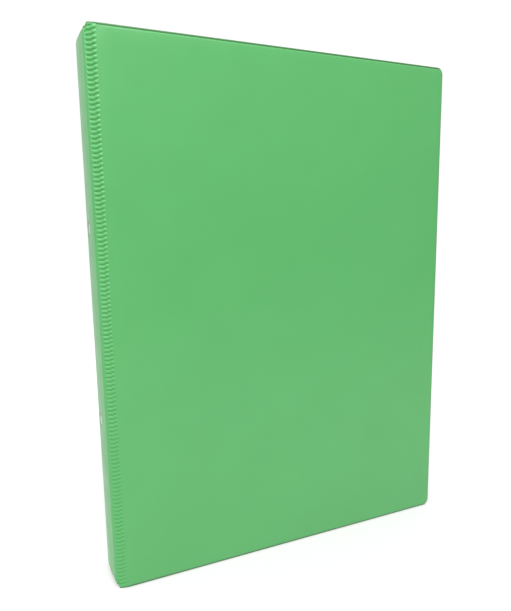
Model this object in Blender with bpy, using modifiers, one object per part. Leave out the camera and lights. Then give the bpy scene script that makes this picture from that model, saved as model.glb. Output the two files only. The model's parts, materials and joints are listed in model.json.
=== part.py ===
"""Loose-leaf stamp album: a welded PVC cover with a two-ring mechanism and eight stock leaves.

The closed album stands on its lower edges. X runs from the spine (-X) to the fore edge (+X),
Y from the front cover (-Y) to the back cover (+Y), and Z up the height. The origin is the
middle of the bounding box's bottom face. Lengths below are in millimetres; MM converts them.
"""

import math

import bmesh
import bpy
from mathutils import Matrix

MM = 0.001

# Overall size of the closed album
HEIGHT = 315.0
DEPTH = 35.0
WIDTH = 236.0

# Layers of a cover panel, from outside to inside
SKIN = 0.4
GAP = 0.3
BOARD = 1.6
PANEL = SKIN + GAP + BOARD + GAP + SKIN
SEAM_DEPTH = SKIN + GAP + BOARD
SEAM_WIDTH = 1.2
CORNER_RADIUS = 4.5
FACE_ROUNDING = 0.9
BOARD_RADIUS = 2.0

# Ribbed hinge strips, each turning about a vertical axis at either edge. A closed album's
# strips slope in from the cover faces to the spine.
STRIP_THICKNESS = 0.8
STRIP_WIDTH = 6.0
STRIP_SLANT = math.radians(24.0)
STRIP_SETBACK = 0.75
AXIS_GAP = 0.15
AXIS_B_X = -110.4
AXIS_B_Y = DEPTH / 2
AXIS_A_X = AXIS_B_X - STRIP_WIDTH * math.cos(STRIP_SLANT)
AXIS_A_Y = AXIS_B_Y - STRIP_WIDTH * math.sin(STRIP_SLANT)

# Spine: its edges stand in from the bounding box by the bow of its middle. Its round corners
# start square to the strips and end where the bowed face begins.
SPINE_BOW = 1.0
SPINE_X = -WIDTH / 2 + SPINE_BOW
SPINE_CORNER = (AXIS_A_X + GAP * math.sin(STRIP_SLANT) - SPINE_X) / (1 - math.sin(STRIP_SLANT))
SPINE_HALF = AXIS_A_Y - (SPINE_CORNER + GAP) * math.cos(STRIP_SLANT)
CORNER_STEPS = 5
BOW_STEPS = 11
SPINE_BOARD_HALF = SPINE_HALF - 1.0
SPINE_LINING_HALF = SPINE_HALF - 0.2
SPINE_BOARD_INSET = 1.5

# Ring mechanism, a little below the middle of the spine. U is the height above its datum
# plane on the spine lining.
RINGS_Z = HEIGHT / 2 - 1.8
DATUM_X = SPINE_X + PANEL - 0.5
HOUSING_LENGTH = 134.0
HOUSING_HALF = 9.0
HOUSING_HEIGHT = 4.0
SHEET_STEEL = 0.8
ARCH_POWER = 2.6
ARCH_STEPS = 23
LIP = 2.2
SLOT_INNER_Y = 4.4
SLOT_LOW_U = 1.3
SLOT_HALF = 1.9
RING_SPACING = 80.0
RIVET_SPACING = 111.0
RING_RADIUS = 9.25
WIRE_RADIUS = 1.25
RING_CENTRE_U = 9.6
RING_END_ANGLE = 125.0
RING_FOOT_U = 0.75
RING_FOOT_Y = 6.0
RING_TIP_GAP = 0.3
BLADE_LENGTH = 100.0
BLADE_PIVOT_U = 1.75
BLADE_PIVOT_Y = 7.5
BLADE_REACH = 7.25
BLADE_DROOP = math.radians(3.0)

# Rivets
RIVET_HEAD_RADIUS = 3.1
RIVET_HEAD_HEIGHT = 0.75
RIVET_RECESS = 0.25
RIVET_COLLAR_HEIGHT = 0.8
RIVET_SHANK_RADIUS = 2.0
RIVET_COLLAR_RADIUS = 3.2
RIVET_CLEARANCE = 0.4

# Stock leaves
LEAVES = 8
LEAF_PITCH = 1.5
LEAF_WIDTH = 210.0
LEAF_HEIGHT = 297.0
CARD = 0.4
FILM = 0.15
FILM_GAP = 0.2
HOLE_RADIUS = 3.25
HOLE_MARGIN = 8.0
HOLE_SLACK = 1.0
STRIPS = 7
STRIP_SLOT = 1.6
STRIP_END_WELD = 3.0
FILM_INNER_MARGIN = 18.0
FILM_MARGIN = 3.0

LEVELS = {"upper": RINGS_Z + RING_SPACING / 2, "lower": RINGS_Z - RING_SPACING / 2}
RIVET_LEVELS = {"upper": RINGS_Z + RIVET_SPACING / 2, "lower": RINGS_Z - RIVET_SPACING / 2}
SIDES = {"front": -1, "back": 1}

COLOURS = {
    "green_pvc": ((0.13, 0.50, 0.16), 0.35, 0.0),
    "greyboard": ((0.36, 0.33, 0.28), 0.9, 0.0),
    "nickel_steel": ((0.72, 0.71, 0.68), 0.22, 1.0),
    "black_card": ((0.012, 0.012, 0.013), 0.75, 0.0),
    "clear_film": ((0.85, 0.88, 0.90), 0.12, 0.0),
}


def clear_scene():
    for obj in list(bpy.data.objects):
        bpy.data.objects.remove(obj, do_unlink=True)


def make_material(name):
    colour, roughness, metallic = COLOURS[name]
    material = bpy.data.materials.new(name)
    material.use_nodes = True
    shader = material.node_tree.nodes["Principled BSDF"]
    shader.inputs["Base Color"].default_value = (*colour, 1.0)
    shader.inputs["Roughness"].default_value = roughness
    shader.inputs["Metallic"].default_value = metallic
    return material


def make_collection(name):
    collection = bpy.data.collections.new(name)
    bpy.context.scene.collection.children.link(collection)
    return collection


def add_object(name, data, slot, collection):
    obj = bpy.data.objects.new(name, data)
    collection.objects.link(obj)
    if slot:
        data.materials.append(MATERIALS[slot])
    return obj


def mesh_from(bm, name):
    mesh = bpy.data.meshes.new(name)
    bm.to_mesh(mesh)
    bm.free()
    return mesh


def add_cutter(name, mesh):
    cutter = add_object(name, mesh, None, CUTTERS)
    cutter.hide_render = True
    cutter.display_type = "WIRE"
    return cutter


def cut(obj, cutter):
    modifier = obj.modifiers.new("cut_" + cutter.name, "BOOLEAN")
    modifier.operation = "DIFFERENCE"
    modifier.object = cutter


def axis_empty(name, x, y):
    """An empty on a vertical joint axis, for the pieces that turn about it."""
    empty = bpy.data.objects.new(name, None)
    empty.empty_display_size = 10 * MM
    empty.location = (x * MM, y * MM, 0)
    PARTS.objects.link(empty)
    bpy.context.view_layer.update()
    return empty


def hang(empty, pieces):
    """Parents pieces to a joint's empty without moving them."""
    for piece in pieces:
        piece.parent = empty
        piece.matrix_parent_inverse = empty.matrix_world.inverted()


def box_mesh(name, low, high):
    """A cube primitive scaled to the box between two corners, in millimetres."""
    bm = bmesh.new()
    bmesh.ops.create_cube(bm, size=1.0)
    size = [(h - l) * MM for l, h in zip(low, high)]
    middle = [(h + l) / 2 * MM for l, h in zip(low, high)]
    bm.transform(Matrix.Translation(middle) @ Matrix.Diagonal((*size, 1.0)))
    return mesh_from(bm, name)


def box(name, low, high, slot):
    return add_object(name, box_mesh(name, low, high), slot, PARTS)


def cylinder_mesh(name, centre, radius, length, axis, segments=24):
    """A cylinder about X or Y, in millimetres."""
    bm = bmesh.new()
    bmesh.ops.create_cone(
        bm, cap_ends=True, segments=segments,
        radius1=radius * MM, radius2=radius * MM, depth=length * MM,
    )
    turn = Matrix.Rotation(math.pi / 2, 4, "Y" if axis == "X" else "X")
    bm.transform(Matrix.Translation([c * MM for c in centre]) @ turn)
    return mesh_from(bm, name)


def rounded_face(bm, x0, x1, z0, z1, radius, segments):
    """An upright rectangle facing -Y whose two corners at x1 are rounded."""
    bmesh.ops.create_grid(bm, x_segments=1, y_segments=1, size=0.5)
    place = Matrix.Translation(((x0 + x1) / 2 * MM, 0, (z0 + z1) / 2 * MM))
    scale = Matrix.Diagonal(((x1 - x0) * MM, (z1 - z0) * MM, 1.0, 1.0))
    bm.transform(place @ Matrix.Rotation(math.pi / 2, 4, "X") @ scale)
    middle = (x0 + x1) / 2 * MM
    if radius > 0:
        outer = [v for v in bm.verts if v.co.x > middle]
        bmesh.ops.bevel(
            bm, geom=outer, offset=radius * MM, offset_type="OFFSET",
            segments=segments, profile=0.5, affect="VERTICES",
        )
    bm.faces.ensure_lookup_table()
    if bm.faces[0].normal.y > 0:
        bmesh.ops.reverse_faces(bm, faces=bm.faces)
    return bm.faces[0]


def put_side(bm, side, y):
    """Moves what was made facing -Y to its depth from the outer face, mirrored for the back."""
    bm.transform(Matrix.Translation((0, (-DEPTH / 2 + y) * MM, 0)))
    if side > 0:
        bm.transform(Matrix.Diagonal((1.0, -1.0, 1.0, 1.0)))
        bmesh.ops.reverse_faces(bm, faces=bm.faces)


def plate(name, side, y, thickness, outline, radius, slot):
    """A flat sheet with rounded fore corners, y below the cover's outer face."""
    bm = bmesh.new()
    face = rounded_face(bm, *outline, radius, 5)
    made = bmesh.ops.extrude_face_region(bm, geom=[face])["geom"]
    moved = [v for v in made if isinstance(v, bmesh.types.BMVert)]
    bmesh.ops.translate(bm, verts=moved, vec=(0, thickness * MM, 0))
    bmesh.ops.recalc_face_normals(bm, faces=bm.faces)
    put_side(bm, side, y)
    return add_object(name, mesh_from(bm, name), slot, PARTS)


def cover_outline(inset):
    """x0, x1, z0, z1 of a cover panel, inset from its welded edge."""
    return (
        AXIS_B_X + AXIS_GAP + inset, WIDTH / 2 - inset,
        inset, HEIGHT - inset,
    )


def cover_skin(name, side):
    """The outer PVC: a shallow tray over the board with a welded flange round it."""
    bm = bmesh.new()
    face = rounded_face(bm, *cover_outline(0), CORNER_RADIUS, 5)
    bmesh.ops.inset_region(bm, faces=[face], thickness=SEAM_WIDTH * MM)
    made = bmesh.ops.extrude_face_region(bm, geom=[face])["geom"]
    raised = [v for v in made if isinstance(v, bmesh.types.BMVert)]
    top = [f for f in made if isinstance(f, bmesh.types.BMFace)]
    bmesh.ops.delete(bm, geom=[face], context="FACES_ONLY")
    rise = SEAM_DEPTH - SKIN
    bmesh.ops.translate(bm, verts=raised, vec=(0, -rise * MM, 0))
    bmesh.ops.bevel(
        bm, geom=list(top[0].edges), offset=FACE_ROUNDING * MM,
        offset_type="OFFSET", segments=3, profile=0.5, affect="EDGES",
    )
    bmesh.ops.recalc_face_normals(bm, faces=bm.faces)
    if max(bm.faces, key=lambda f: f.calc_area()).normal.y > 0:
        bmesh.ops.reverse_faces(bm, faces=bm.faces)
    put_side(bm, side, rise)
    obj = add_object(name, mesh_from(bm, name), "green_pvc", PARTS)
    shell = obj.modifiers.new("thickness", "SOLIDIFY")
    shell.thickness = SKIN * MM
    shell.offset = -1.0
    return obj


def cover_panel(label, side):
    skin = cover_skin(label + "_outer_skin", side)
    board = plate(label + "_board", side, SKIN + GAP, BOARD,
                  cover_outline(SEAM_WIDTH + SKIN + GAP), BOARD_RADIUS, "greyboard")
    lining = plate(label + "_lining", side, SEAM_DEPTH + GAP, SKIN,
                   cover_outline(0), CORNER_RADIUS, "green_pvc")
    fold = axis_empty(label + "_cover_fold", AXIS_B_X, side * AXIS_B_Y)
    hang(fold, (skin, board, lining))


def hinge_strip(label, side):
    """A sloping strip just inside the plane through its two axes, set back from the cover."""
    strip = box(label + "_hinge_strip",
                (-STRIP_WIDTH / 2 + AXIS_GAP, -STRIP_THICKNESS / 2, 0),
                (STRIP_WIDTH / 2 - STRIP_SETBACK, STRIP_THICKNESS / 2, HEIGHT), "green_pvc")
    inset = GAP + STRIP_THICKNESS / 2
    x = (AXIS_A_X + AXIS_B_X) / 2 + inset * math.sin(STRIP_SLANT)
    y = (AXIS_A_Y + AXIS_B_Y) / 2 - inset * math.cos(STRIP_SLANT)
    strip.location = (x * MM, side * y * MM, 0)
    strip.rotation_euler = (0, 0, side * STRIP_SLANT)
    hang(axis_empty(label + "_hinge_fold", AXIS_A_X, side * AXIS_A_Y), (strip,))


def bow(y, half, rise):
    """How far a bowed face stands out at y. Its middle facet is flat, at the full rise."""
    return rise * min(1.0, (1 - (y / half) ** 2) / (1 - 1 / BOW_STEPS ** 2))


def spine_profile():
    """Round corners joined by the bowed face, as points (x, y) from front to back."""
    start = STRIP_SLANT + AXIS_GAP / SPINE_CORNER
    front = []
    for i in range(CORNER_STEPS + 1):
        angle = start + (math.pi / 2 - start) * i / CORNER_STEPS
        front.append((SPINE_X + SPINE_CORNER * (1 - math.sin(angle)),
                      -SPINE_HALF - SPINE_CORNER * math.cos(angle)))
    face = []
    for i in range(1, BOW_STEPS):
        y = -SPINE_HALF + 2 * SPINE_HALF * i / BOW_STEPS
        face.append((SPINE_X - bow(y, SPINE_HALF, SPINE_BOW), y))
    back = [(x, -y) for x, y in reversed(front)]
    return front + face + back


def ribbon_mesh(name, points, z0, z1):
    """An upright ribbon along points (x, y), from z0 to z1, as a mesh."""
    curve = bpy.data.curves.new(name, "CURVE")
    curve.dimensions = "3D"
    spline = curve.splines.new("POLY")
    spline.points.add(len(points) - 1)
    for point, (x, y) in zip(spline.points, points):
        point.co = (x * MM, y * MM, (z0 + z1) / 2 * MM, 1.0)
    curve.extrude = (z1 - z0) / 2 * MM
    return curve_to_mesh(name, curve, Matrix.Identity(4))


def curve_to_mesh(name, curve, matrix):
    """The evaluated curve as a mesh in world space, its caps welded."""
    obj = bpy.data.objects.new(name + "_curve", curve)
    bpy.context.scene.collection.objects.link(obj)
    obj.matrix_world = matrix
    bpy.context.view_layer.update()
    graph = bpy.context.evaluated_depsgraph_get()
    mesh = bpy.data.meshes.new_from_object(obj.evaluated_get(graph))
    mesh.transform(obj.matrix_world)
    bpy.data.objects.remove(obj, do_unlink=True)
    bm = bmesh.new()
    bm.from_mesh(mesh)
    bmesh.ops.remove_doubles(bm, verts=bm.verts, dist=0.00001)
    bm.to_mesh(mesh)
    bm.free()
    mesh.name = name
    return mesh


def shell(obj, thickness, facing_x):
    """Gives an open surface its thickness towards its inner side."""
    bm = bmesh.new()
    bm.from_mesh(obj.data)
    bmesh.ops.recalc_face_normals(bm, faces=bm.faces)
    widest = max(bm.faces, key=lambda f: abs(f.normal.x) * f.calc_area())
    if widest.normal.x * facing_x < 0:
        bmesh.ops.reverse_faces(bm, faces=bm.faces)
    bm.to_mesh(obj.data)
    bm.free()
    modifier = obj.modifiers.new("thickness", "SOLIDIFY")
    modifier.thickness = thickness * MM
    modifier.offset = -1.0
    modifier.use_even_offset = True


def spine_sheet(name, x, half, inset, thickness, slot):
    """A bowed sheet inside the spine, its outer face starting at x."""
    points = []
    for i in range(BOW_STEPS + 1):
        y = -half + 2 * half * i / BOW_STEPS
        points.append((x - bow(y, SPINE_HALF, SPINE_BOW), y))
    mesh = ribbon_mesh(name, points, inset, HEIGHT - inset)
    obj = add_object(name, mesh, slot, PARTS)
    shell(obj, thickness, -1)
    return obj


def spine():
    skin = add_object("spine_outer_skin",
                      ribbon_mesh("spine_outer_skin", spine_profile(), 0, HEIGHT),
                      "green_pvc", PARTS)
    shell(skin, SKIN, -1)
    board = spine_sheet("spine_board", SPINE_X + SKIN + GAP, SPINE_BOARD_HALF,
                        SPINE_BOARD_INSET, BOARD, "greyboard")
    lining = spine_sheet("spine_lining", SPINE_X + SEAM_DEPTH + GAP, SPINE_LINING_HALF, 0.0,
                         SKIN, "green_pvc")
    return skin, board, lining


def arch(half, rise, base, steps):
    """Points (u, y) of the housing's flattened arch, from -Y to +Y."""
    points = []
    for i in range(steps + 1):
        angle = math.pi * i / steps
        y = -half * math.cos(angle)
        share = max(0.0, 1 - abs(y / half) ** ARCH_POWER) ** (1 / ARCH_POWER)
        points.append((base + rise * share, y))
    return points


def housing():
    """The sprung steel channel: an arched section with its lower edges turned in."""
    outer = arch(HOUSING_HALF, HOUSING_HEIGHT, GAP, ARCH_STEPS)
    inner = arch(HOUSING_HALF - SHEET_STEEL, HOUSING_HEIGHT - SHEET_STEEL,
                 GAP + SHEET_STEEL / 2, ARCH_STEPS)
    lip = HOUSING_HALF - LIP
    lip_top = GAP + SHEET_STEEL / 2
    outline = [*outer, (GAP, lip), (lip_top, lip), *reversed(inner),
               (lip_top, -lip), (GAP, -lip)]
    curve = bpy.data.curves.new("ring_housing", "CURVE")
    curve.dimensions = "2D"
    curve.fill_mode = "BOTH"
    curve.extrude = HOUSING_LENGTH / 2 * MM
    spline = curve.splines.new("POLY")
    spline.points.add(len(outline) - 1)
    spline.use_cyclic_u = True
    for point, (u, y) in zip(spline.points, outline):
        point.co = ((DATUM_X + u) * MM, y * MM, 0, 1.0)
    mesh = curve_to_mesh("ring_housing", curve, Matrix.Translation((0, 0, RINGS_Z * MM)))
    obj = add_object("ring_housing", mesh, "nickel_steel", PARTS)
    for level, z in LEVELS.items():
        for label, side in SIDES.items():
            near, far = SLOT_INNER_Y * side, (HOUSING_HALF + 1) * side
            slot = box_mesh(f"{level}_{label}_slot",
                            (DATUM_X + SLOT_LOW_U, min(near, far), z - SLOT_HALF),
                            (DATUM_X + HOUSING_HEIGHT + 2, max(near, far), z + SLOT_HALF))
            cut(obj, add_cutter(f"{level}_{label}_slot", slot))
    return obj


def blade(label, side):
    """A hinged steel plate inside the housing. Its pivot is its outer edge."""
    name = label + "_blade"
    inner_edge = -BLADE_REACH * side
    mesh = box_mesh(name, (-SHEET_STEEL / 2, min(0.0, inner_edge), -BLADE_LENGTH / 2),
                    (SHEET_STEEL / 2, max(0.0, inner_edge), BLADE_LENGTH / 2))
    obj = add_object(name, mesh, "nickel_steel", PARTS)
    obj.location = ((DATUM_X + BLADE_PIVOT_U) * MM, BLADE_PIVOT_Y * side * MM, RINGS_Z * MM)
    obj.rotation_euler = (0, 0, -BLADE_DROOP * side)
    for level, z in LEVELS.items():
        centre = (DATUM_X + BLADE_PIVOT_U, RING_FOOT_Y * side, z)
        hole = cylinder_mesh(f"{level}_{label}_foot_hole", centre, WIRE_RADIUS + GAP,
                             8.0, "X", 16)
        cut(obj, add_cutter(f"{level}_{label}_foot_hole", hole))
    return obj


def ring_side(label, side):
    """One blade and the two ring halves fixed in it, turning about the blade's outer edge."""
    pieces = [blade(label, side)]
    for level, z in LEVELS.items():
        pieces.append(ring_half(level, z, label, side))
    pivot = axis_empty(label + "_ring_pivot", DATUM_X + BLADE_PIVOT_U, side * BLADE_PIVOT_Y)
    hang(pivot, pieces)


def ring_half(level, z, label, side):
    """Round wire from the tip, round the ring and down through its blade."""
    name = f"{level}_ring_{label}"
    start = RING_TIP_GAP / 2 / RING_RADIUS
    end = math.radians(RING_END_ANGLE)
    steps = 12
    path = []
    for i in range(steps + 1):
        angle = start + (end - start) * i / steps
        path.append((RING_CENTRE_U + RING_RADIUS * math.cos(angle),
                     side * RING_RADIUS * math.sin(angle)))
    path.append((BLADE_PIVOT_U + 0.9, side * RING_FOOT_Y))
    path.append((RING_FOOT_U, side * RING_FOOT_Y))
    curve = bpy.data.curves.new(name, "CURVE")
    curve.dimensions = "3D"
    curve.bevel_depth = WIRE_RADIUS * MM
    curve.bevel_resolution = 3
    curve.use_fill_caps = True
    spline = curve.splines.new("POLY")
    spline.points.add(len(path) - 1)
    for point, (u, y) in zip(spline.points, path):
        point.co = ((DATUM_X + u) * MM, y * MM, z * MM, 1.0)
    return add_object(name, curve, "nickel_steel", PARTS)


def rivet(level, z):
    """A turned rivet: outer head, shank and the collar closed over the housing."""
    name = level + "_rivet"
    head_top = SPINE_X - SPINE_BOW + RIVET_RECESS
    head_base = head_top + RIVET_HEAD_HEIGHT
    collar_base = DATUM_X + GAP + HOUSING_HEIGHT + GAP
    collar_top = collar_base + RIVET_COLLAR_HEIGHT
    profile = [
        (0.0, head_top), (RIVET_HEAD_RADIUS * 0.75, head_top + 0.1),
        (RIVET_HEAD_RADIUS, head_top + 0.4), (RIVET_HEAD_RADIUS, head_base),
        (RIVET_SHANK_RADIUS, head_base), (RIVET_SHANK_RADIUS, collar_base),
        (RIVET_COLLAR_RADIUS, collar_base), (RIVET_COLLAR_RADIUS - 0.3, collar_top),
        (0.0, collar_top),
    ]
    bm = bmesh.new()
    points = [bm.verts.new((radius * MM, 0, -x * MM)) for radius, x in profile]
    for first, second in zip(points, points[1:]):
        bm.edges.new((first, second))
    obj = add_object(name, mesh_from(bm, name), "nickel_steel", PARTS)
    obj.location = (0, 0, z * MM)
    obj.rotation_euler = (0, -math.pi / 2, 0)
    turn = obj.modifiers.new("turn", "SCREW")
    turn.axis = "Z"
    turn.steps = 28
    turn.render_steps = 28
    turn.use_merge_vertices = True
    turn.merge_threshold = 0.00001
    turn.use_normal_calculate = True
    turn.use_normal_flip = True
    return obj


def rivet_holes(skin, board, lining, channel):
    for level, z in RIVET_LEVELS.items():
        def bore(label, x, radius, length):
            mesh = cylinder_mesh(f"{level}_{label}", (x, 0, z), radius, length, "X", 28)
            return add_cutter(f"{level}_{label}", mesh)
        cut(skin, bore("skin_bore", SPINE_X, RIVET_HEAD_RADIUS + RIVET_CLEARANCE, 6.0))
        shank = bore("shank_bore", DATUM_X, RIVET_SHANK_RADIUS + RIVET_CLEARANCE, 24.0)
        for sheet in (board, lining, channel):
            cut(sheet, shank)
        floor = SPINE_X - SPINE_BOW + RIVET_RECESS + RIVET_HEAD_HEIGHT + GAP
        sink = 4.0
        cut(board, bore("counterbore", floor - sink / 2,
                        RIVET_HEAD_RADIUS + RIVET_CLEARANCE, sink))


def leaf_offset(index):
    """Signed distance of a leaf's plane from the ring axis; leaf 1 is the front one."""
    return (index - (LEAVES + 1) / 2) * LEAF_PITCH


def leaf(index):
    offset = leaf_offset(index)
    hole_x = DATUM_X + RING_CENTRE_U + math.sqrt(RING_RADIUS ** 2 - offset ** 2) + HOLE_SLACK
    x0 = hole_x - HOLE_MARGIN
    x1 = x0 + LEAF_WIDTH
    z0, z1 = RINGS_Z - LEAF_HEIGHT / 2, RINGS_Z + LEAF_HEIGHT / 2
    card = box(f"leaf_{index}_card", (x0, offset - CARD / 2, z0),
               (x1, offset + CARD / 2, z1), "black_card")
    for level, z in LEVELS.items():
        name = f"leaf_{index}_{level}_hole"
        hole = cylinder_mesh(name, (hole_x, offset, z), HOLE_RADIUS, 4.0, "Y")
        cut(card, add_cutter(name, hole))
    films = []
    for label, side in SIDES.items():
        near = offset + side * (CARD / 2 + FILM_GAP)
        far = near + side * FILM
        name = f"leaf_{index}_{label}_strips"
        film_z0, film_z1 = z0 + FILM_MARGIN, z1 - FILM_MARGIN
        film = box(name, (x0 + FILM_INNER_MARGIN, min(near, far), film_z0),
                   (x1 - FILM_MARGIN, max(near, far), film_z1), "clear_film")
        pitch = (film_z1 - film_z0) / STRIPS
        for row in range(1, STRIPS):
            z = film_z0 + pitch * row
            slot = box_mesh(f"{name}_slot_{row}",
                            (x0 + FILM_INNER_MARGIN + STRIP_END_WELD, min(near, far) - 1,
                             z - STRIP_SLOT / 2),
                            (x1 - FILM_MARGIN - STRIP_END_WELD, max(near, far) + 1,
                             z + STRIP_SLOT / 2))
            cut(film, add_cutter(f"{name}_slot_{row}", slot))
        films.append(film)
    hang(axis_empty(f"leaf_{index}_turn", DATUM_X + RING_CENTRE_U, 0), (card, *films))


clear_scene()
MATERIALS = {name: make_material(name) for name in COLOURS}
PARTS = make_collection("stamp_album")
CUTTERS = make_collection("cutters")

for side_label, side_sign in SIDES.items():
    cover_panel(side_label, side_sign)
    hinge_strip(side_label, side_sign)
    ring_side(side_label, side_sign)
rivet_holes(*spine(), housing())
for rivet_level, rivet_z in RIVET_LEVELS.items():
    rivet(rivet_level, rivet_z)
for leaf_index in range(1, LEAVES + 1):
    leaf(leaf_index)
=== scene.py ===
import json
import math

import bmesh
import bpy
import numpy as np
from mathutils import Matrix, Vector


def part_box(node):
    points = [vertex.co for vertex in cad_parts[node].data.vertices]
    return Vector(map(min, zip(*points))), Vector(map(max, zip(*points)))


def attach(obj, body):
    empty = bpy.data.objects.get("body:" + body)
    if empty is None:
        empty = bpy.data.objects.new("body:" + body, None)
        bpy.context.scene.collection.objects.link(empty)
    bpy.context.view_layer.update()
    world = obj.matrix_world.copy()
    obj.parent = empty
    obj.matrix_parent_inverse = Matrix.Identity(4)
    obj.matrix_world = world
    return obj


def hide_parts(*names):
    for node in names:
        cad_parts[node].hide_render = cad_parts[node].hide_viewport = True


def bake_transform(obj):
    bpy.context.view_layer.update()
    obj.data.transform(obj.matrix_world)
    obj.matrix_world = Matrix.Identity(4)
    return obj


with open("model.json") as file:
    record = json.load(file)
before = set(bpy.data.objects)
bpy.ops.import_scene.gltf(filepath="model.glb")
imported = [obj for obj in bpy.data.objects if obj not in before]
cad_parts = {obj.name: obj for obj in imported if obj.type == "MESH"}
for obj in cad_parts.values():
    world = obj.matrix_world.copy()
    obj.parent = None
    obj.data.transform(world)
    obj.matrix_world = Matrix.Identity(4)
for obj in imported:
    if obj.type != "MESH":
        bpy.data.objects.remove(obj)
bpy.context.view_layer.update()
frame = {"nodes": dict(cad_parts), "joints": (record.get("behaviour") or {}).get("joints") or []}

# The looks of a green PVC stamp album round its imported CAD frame. Lengths are in millimetres
# until a mesh is made; MM converts them. Depths run in from the covers' outer faces.
MM = 0.001
JOINTS = {joint["name"]: Vector(joint["pos_m"]) / MM for joint in frame["joints"]}
SIDES = {"front": -1, "back": 1}


def corners(node):
    """Lowest and highest corner of a CAD node, in millimetres."""
    low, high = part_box(node)
    return np.array(low) / MM, np.array(high) / MM


def middle_height(node):
    """Height of a CAD node's middle, in millimetres."""
    low, high = corners(node)
    return (low[2] + high[2]) / 2


# Places taken from the CAD
COVER_LOW, COVER_HIGH = corners("front_outer_skin")
HALF_DEPTH = -COVER_LOW[1]
HINGE_X, FORE_X = COVER_LOW[0], COVER_HIGH[0]
HEIGHT = COVER_HIGH[2]
AXIS_A = JOINTS["front_hinge_fold"]
AXIS_B = JOINTS["front_cover_fold"]
STRIP_WIDTH = math.hypot(AXIS_B.x - AXIS_A.x, AXIS_B.y - AXIS_A.y)
SLANT = math.atan2(AXIS_A.y - AXIS_B.y, AXIS_B.x - AXIS_A.x)
SPINE_LEFT = corners("spine_outer_skin")[0][0]
RING_CENTRE = JOINTS["leaf_1_turn"]

# Cover skins and linings
SKIN = 0.42
LINING = 0.4
PANEL_DEPTH = 3.0
FLANGE_WIDTH = 1.2
FLANGE_DEPTH = 1.9
FLANGE_BACK = 2.4
WALL_WIDTH = 1.1
CORNER_RADIUS = 4.5
HINGE_DIP = 0.6
HINGE_ROLL = 5.5
PILLOW = 0.18
PILLOW_REACH = 2.5
SURFACE_WAVE = 0.10
WAVE_LENGTH = 70.0
WAVE_REACH = 20.0
BOARD_REACH = 12.0
PUCKER = 0.05
PUCKER_LENGTH = 9.0
BEAD_HEIGHT = 0.12
COVER_SEEDS = {"front": 11, "back": 23}
LINING_WAVE = 0.05
LINING_WAVE_LENGTH = 50.0
LINING_SEED = 37
GRID_STEP = 4.0
MERGE_DISTANCE = 0.02

# Ribbed hinge strips
STRIP_INSET = 0.3
STRIP_BACK = 1.1
RIB_PITCH = 2.42
RIB_FIRST = 2.0
RIB_HEIGHT = 0.31
RIB_LOW_SHARE = 0.66
RIB_STEP = 0.75
RIB_STEP_START = 0.46
RIB_STEP_WIDTH = 0.24
RIB_SPINE_TAPER = 0.8
RIB_COVER_TAPER = 1.4
RIB_SAMPLES = 10
RIB_END_MARGIN = 0.9
STRIP_COLUMNS = 9
STRIP_END_DEPTH = 1.6
STRIP_DROP_WIDTH = 1.2
VALLEY_WIDTH = 1.3

# Spine
SPINE_BOW = 1.0
SPINE_EDGE_X = SPINE_LEFT + SPINE_BOW
SPINE_CORNER = ((AXIS_A.x + STRIP_INSET * math.sin(SLANT) - SPINE_EDGE_X)
                / (1 - math.sin(SLANT)))
SPINE_HALF = -AXIS_A.y - (SPINE_CORNER + STRIP_INSET) * math.cos(SLANT)
SPINE_END_WIDTH = 1.3
SPINE_END_DEPTH = 1.0
END_CLOSURE = 2.55
STRIP_TOP_DROP = 2.0
STRIP_BOTTOM_DROP = 2.7
SPINE_TOP_DROP = 2.6
SPINE_BOTTOM_DROP = 4.3
WORN_REACH = 9.0
BOARD_DEPTH = 0.5
BOARD_THICKNESS = 2.0
BOARD_SHORTENED = 3.5
RIVET_PRESS = 0.7
RIVETS = ("upper_rivet", "lower_rivet")
RIVET_HEAD = 3.1
RIVET_DOME = 0.375
RIVET_PRESS_RADIUS = 3.3
RIVET_DIMPLE_RADIUS = 6.0
RIVET_GRID_REACH = 7.2
SPINE_WAVE = 0.05
LINING_TURN = 1.35

# Rings and leaves
LEAVES = 8
WIRE_RADIUS = 1.25
RING_RADIUS = 9.25
RING_END_ANGLE = math.radians(125.0)
RING_TIP_GAP = 0.3
RING_FOOT_Y = 6.0
TIP_DOME = np.array([0.45, 0.75, 0.92, 1.0])
FILM = 0.15
STRIPS = 7
STRIP_SLOT = 1.6
HOLE_RADIUS = 3.25
HOLE_MARGIN = 8.0
LEAF_CORNER = 3.0
LEAF_EDGE = 0.04

# Creases sharper than this, in degrees, aren't shaded smooth
CREASE_ANGLE = 40.0


# ---------------------------------------------------------------- shapes

def smooth(t):
    """A smooth step from 0 at t = 0 to 1 at t = 1."""
    t = np.clip(t, 0.0, 1.0)
    return t * t * (3 - 2 * t)


def spread(start, stop, step):
    """Even positions from start to stop, no further apart than step."""
    count = max(1, math.ceil((stop - start) / step))
    return np.linspace(start, stop, count + 1)


def merge_lines(*groups):
    """Sorted grid positions without near-duplicates."""
    lines = np.sort(np.concatenate([np.atleast_1d(group) for group in groups]))
    keep = np.concatenate([[True], np.diff(lines) > MERGE_DISTANCE])
    return lines[keep]


def ripple(x, z, length, seed):
    """A smooth, uneven height between about -1 and 1, with features about length across."""
    chance = np.random.default_rng(seed)
    total = 0.0
    waves, gain = 7, 1.7
    for _ in range(waves):
        angle, phase = chance.uniform(0, 2 * math.pi, 2)
        wavelength = length * chance.uniform(0.7, 1.8)
        total = total + np.sin(2 * math.pi * (x * math.cos(angle) + z * math.sin(angle))
                               / wavelength + phase)
    return total / waves * gain


def add_object(name, data):
    """A new object in the scene."""
    obj = bpy.data.objects.new(name, data)
    bpy.context.scene.collection.objects.link(obj)
    return obj


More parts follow.
